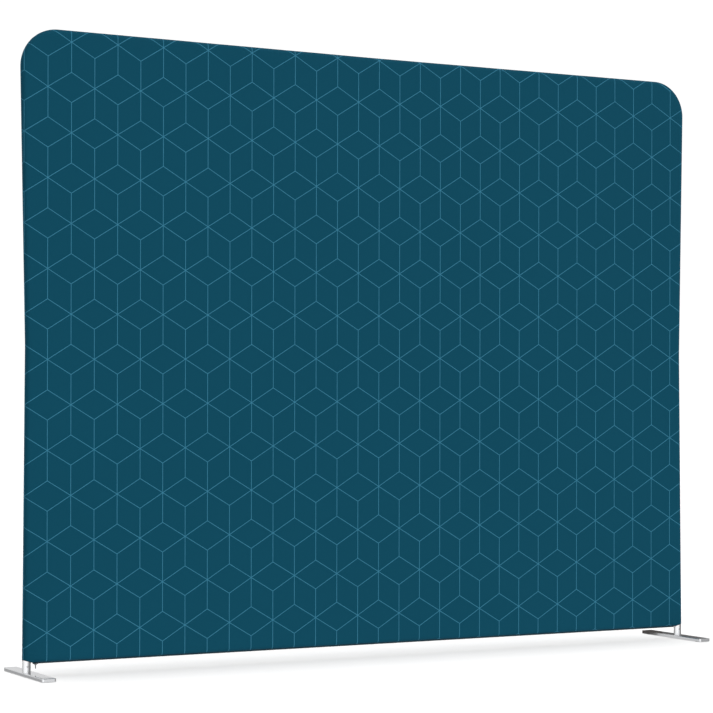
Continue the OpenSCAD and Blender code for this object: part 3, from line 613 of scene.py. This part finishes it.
def stitches(name, side):
    """Two rows of lockstitch through the tape's lap and the hem."""
    points, faces = [], []
    pitch, length, radius, sides = 3.2 * MM, 2.4 * MM, 0.16 * MM, 5
    start = ZIP_START + 3 * MM
    count = int(-2 * start / pitch)
    # along a stitch: share of its length, lift in mm, share of the thread's radius
    profile = ((0, -0.12, 0.5), (0.2, 0.1, 1), (0.5, 0.16, 1), (0.8, 0.1, 1), (1, -0.12, 0.5))
    for angle, r in ((math.radians(54.5), SLEEVE_R + 0.1 * MM + TAPE_T), (math.radians(47), SLEEVE_R)):
        cy, cz = r * math.cos(angle), RAIL_Z - r * math.sin(angle)
        out = (math.cos(angle), -math.sin(angle))
        for k in range(count):
            x0 = start + k * pitch
            faces += tube_faces(len(points), len(profile), sides, turned=side > 0)
            for t, lift, thick in profile:
                y, z = cy + out[0] * lift * MM, cz + out[1] * lift * MM
                for j in range(sides):
                    a = 2 * math.pi * j / sides
                    points.append((x0 + length * t, side * (y + radius * thick * math.cos(a)),
                                   z + radius * thick * math.sin(a)))
    return piece(name, points, faces, thread_material)


def hem_shade_strip(name, row, panel):
    """A narrow strip of the dark tape cloth along the slanting hem at each post: painted shade, a dark line
    standing for the shadow at the hem's edge.
    """
    points, cut, faces = [], [], []
    half_t, tall, sides = 0.75 * MM, 2.6 * MM, 8
    for sign in (-1, 1):
        path = [np.array(panel[i]) for i in row if panel[i][0] * sign > -HEM_START - HEM_RUN / 2]
        base, run = len(points), 0.0
        for k, p in enumerate(path):
            before, after = path[max(k - 1, 0)], path[min(k + 1, len(path) - 1)]
            along = (after - before) / np.linalg.norm(after - before)
            out = np.cross(along, (0, 0, 1))
            out /= np.linalg.norm(out)
            if np.dot(out[:2], (p[0] - sign * AXIS_X, p[1])) < 0:
                out = -out
            run += np.linalg.norm(p - before) if k else 0
            for j in range(sides):
                a = 2 * math.pi * j / sides
                points.append(p + out * (half_t * math.cos(a) - FABRIC_T / 2)
                              + (0, 0, tall / 2 * math.sin(a) + tall * 0.42))
                cut.append((run, tall * j / sides))
        faces += tube_faces(base, len(path), sides, turned=False)
    return piece(name, points, faces, tape_material, cut)


for word, side, cloth, row, panel in (("front", -1, sleeve_front, hem_front, front_points),
                                      ("back", 1, sleeve_back, hem_back, back_points)):
    # a dark strip along each slanting hem: painted shade at the hem's edge
    hem_shade_strip("hem_shade_strip_" + word, row, panel)
    tape = zip_tape("zip_tape_" + word + "_woven", side)
    coil = zip_coil("zip_coil_" + word + "_hooks", side)
    rows = stitches("hem_stitches_" + word, side)
    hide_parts("zip_tape_" + word)
    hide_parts("zip_coil_" + word)

# ---- Materials of the CAD nodes ----
LEVEL = ("top_tube", "bottom_tube")
UPRIGHT = ("side_tube", "corner_bend", "centre_pole")


def node_material(name):
    if name.startswith("foot_plate"):
        return foot_metal
    if name.startswith("foot_stub"):
        return turned
    if name == "foot_pads":
        return pad_rubber
    if "button" in name:
        return nickel
    if "joiner" in name or "tee" in name or name.startswith("rail_stub"):
        return joiner_plastic
    if name.startswith(LEVEL):
        return tube_level
    if name.startswith(UPRIGHT):
        return tube_upright
    if name in ("zip_slider", "zip_pull", "zip_stops"):
        return zip_enamel
    return zinc


for name, obj in nodes.items():
    if not obj.material_slots:
        obj.data.materials.append(None)
    for place in obj.material_slots:
        place.material = node_material(name)

# ---- Floor, backdrop and light ----
SHADOW_DEPTH = 0.62           # floor's brightness that comes from overhead
FLOOR_ALBEDO, FLOOR_GLOW = 0.3, 0.38
WORLD = 0.5                   # light from all round
FRONT, BELOW, ABOVE = 0.27, 0.34, 0.42   # what the lamps in front and behind, below and above give
FACING = 0.81                 # cosine between a front lamp and the panel
BACKDROP = 1.05               # brightness of the backdrop
BOARD_GLOW = 0.07
REFLECTED_R = 50


def stage_face(name, corners, material):
    """One flat face of the stage."""
    mesh = bpy.data.meshes.new(name)
    mesh.from_pydata(corners, [], [tuple(range(len(corners)))])
    mesh.materials.append(material)
    obj = bpy.data.objects.new(name, mesh)
    bpy.context.scene.collection.objects.link(obj)
    return obj


def floor_paint():
    g = Graph("floor_paint", Roughness=0.9, Specular_IOR_Level=0.0, Emission_Color=(1, 1, 1, 1),
              Emission_Strength=FLOOR_GLOW)
    pale = g.noise(6.0, detail=3)
    g.colour(g.mix(pale, tone((1, 1, 1), FLOOR_ALBEDO * 0.99), tone((1, 1, 1), FLOOR_ALBEDO * 1.01)))
    return g.material


def dome(name, radius, build):
    """A glowing sphere round the stage; build makes its colour from its own coordinates."""
    g = Graph(name)
    g.tree.nodes.clear()
    emit = g.add("ShaderNodeEmission")
    build(g, emit)
    g.feed(g.add("ShaderNodeOutputMaterial").inputs["Surface"], emit.outputs[0])
    bpy.ops.mesh.primitive_uv_sphere_add(segments=48, ring_count=24, radius=radius)
    obj = bpy.context.object
    obj.name = name
    obj.data.materials.append(g.material)
    obj.visible_diffuse = obj.visible_shadow = obj.visible_transmission = False
    return obj


def plain_white(g, emit):
    """What the camera sees behind the object."""
    emit.inputs["Strength"].default_value = BACKDROP


def around(g, azimuth, stops):
    """Brightness by azimuth in degrees."""
    ramp = g.add("ShaderNodeValToRGB")
    points = ramp.color_ramp.elements
    while len(points) < len(stops):
        points.new(0.5)
    for point, (degrees, value) in zip(points, stops):
        point.position = degrees / 360
        point.color = (value, value, value, 1)
    g.feed(ramp.inputs["Fac"], azimuth)
    return ramp.outputs["Color"]


def studio(g, emit):
    """What polished metal mirrors: a bright room with a dark side to the right and grey below the horizon."""
    split = g.add("ShaderNodeSeparateXYZ")
    g.feed(split.inputs[0], g.add("ShaderNodeTexCoord").outputs["Object"])
    x, y, z = split.outputs
    turn = g.math("DIVIDE", g.math("ARCTAN2", y, x), 2 * math.pi)
    azimuth = g.math("FRACT", g.math("ADD", turn, 1.0))
    low = around(g, azimuth, ((0, 0.25), (40, 0.22), (60, 0.34), (100, 0.38), (112, 0.42), (127, 0.7),
                              (144, 0.62), (162, 0.76), (182, 0.95), (205, 1.15), (265, 1.2),
                              (277, 0.88), (290, 0.82), (307, 0.48), (320, 0.26), (360, 0.25)))
    high = around(g, azimuth, ((0, 0.3), (40, 0.16), (57, 0.12), (63, 0.66), (75, 0.76), (150, 1.1),
                               (265, 1.1), (290, 0.8), (303, 0.3), (360, 0.3)))
    rise = g.math("DIVIDE", z, REFLECTED_R)
    high = g.mix(g.spread(rise, 0, 1, 0.2, 0.6), high, (0.6, 0.6, 0.6, 1))
    g.feed(emit.inputs["Color"], g.mix(g.spread(rise, 0, 1, -0.02, 0.02), low, high))


def dark_board(name, y, xs, zs):
    """A small dark board behind the right foot, which only polished metal mirrors."""
    glow = Graph(name, Base_Color=(0, 0, 0, 1), Specular_IOR_Level=0, Emission_Color=(1, 0.9, 0.84, 1),
                 Emission_Strength=BOARD_GLOW)
    corners = [(x, y, z) for x, z in ((xs[0], zs[0]), (xs[1], zs[0]), (xs[1], zs[1]), (xs[0], zs[1]))]
    obj = stage_face(name, corners, glow.material)
    obj.visible_camera = obj.visible_diffuse = obj.visible_shadow = obj.visible_transmission = False


FLOOR_R = 60
turns = np.linspace(0, 2 * math.pi, 64, endpoint=False)
floor = stage_face("floor", [(FLOOR_R * math.cos(a), FLOOR_R * math.sin(a), 0) for a in turns], floor_paint())
floor.visible_diffuse = floor.visible_glossy = False
backdrop = dome("backdrop", 62, plain_white)
backdrop.visible_glossy = False
reflected = dome("reflected_studio", REFLECTED_R, studio)
reflected.visible_camera = False
dark_board("dark_board", 0.45, (0.93, 1.5), (-0.1, 0.3))

world = bpy.data.worlds.new("studio")
bpy.context.scene.world = world
world.use_nodes = True
world.node_tree.nodes["Background"].inputs["Color"].default_value = (1, 1, 1, 1)
world.node_tree.nodes["Background"].inputs["Strength"].default_value = WORLD


def lamp(name, brightness, spread, towards, lit=None, unlit=None, shaded_by=None):
    """A large soft light from far away, shining along towards."""
    data = bpy.data.lights.new(name, "SUN")
    data.energy, data.angle = brightness * math.pi, math.radians(spread)
    obj = bpy.data.objects.new(name, data)
    x, y, z = towards
    obj.rotation_euler = (math.atan2(math.hypot(x, y), -z), 0, math.atan2(-x, y))
    bpy.context.scene.collection.objects.link(obj)
    if lit or unlit:
        only = bpy.data.collections.new(name + "_lights")
        only.objects.link(lit or unlit)
        only.collection_objects[0].light_linking.link_state = "INCLUDE" if lit else "EXCLUDE"
        obj.light_linking.receiver_collection = only
    if shaded_by:
        only = bpy.data.collections.new(name + "_shaded_by")
        for blocker in shaded_by:
            only.objects.link(blocker)
        obj.light_linking.blocker_collection = only


lamp("floor_light", SHADOW_DEPTH / FLOOR_ALBEDO, 23, (0, -0.012, -1), lit=floor,
     shaded_by=[sleeve_front, nodes["foot_plate_left"], nodes["foot_plate_right"]])
lamp("front", FRONT / FACING, 50, (-0.6, 1, -0.45), unlit=floor)
lamp("behind", FRONT / FACING, 50, (0.6, -1, -0.45), unlit=floor)
lamp("bounce_front", BELOW, 70, (-0.2, 0.7, 0.7), unlit=floor)
lamp("bounce_behind", BELOW, 70, (0.2, -0.7, 0.7), unlit=floor)
lamp("above", ABOVE, 60, (0, 0, -1), unlit=floor)
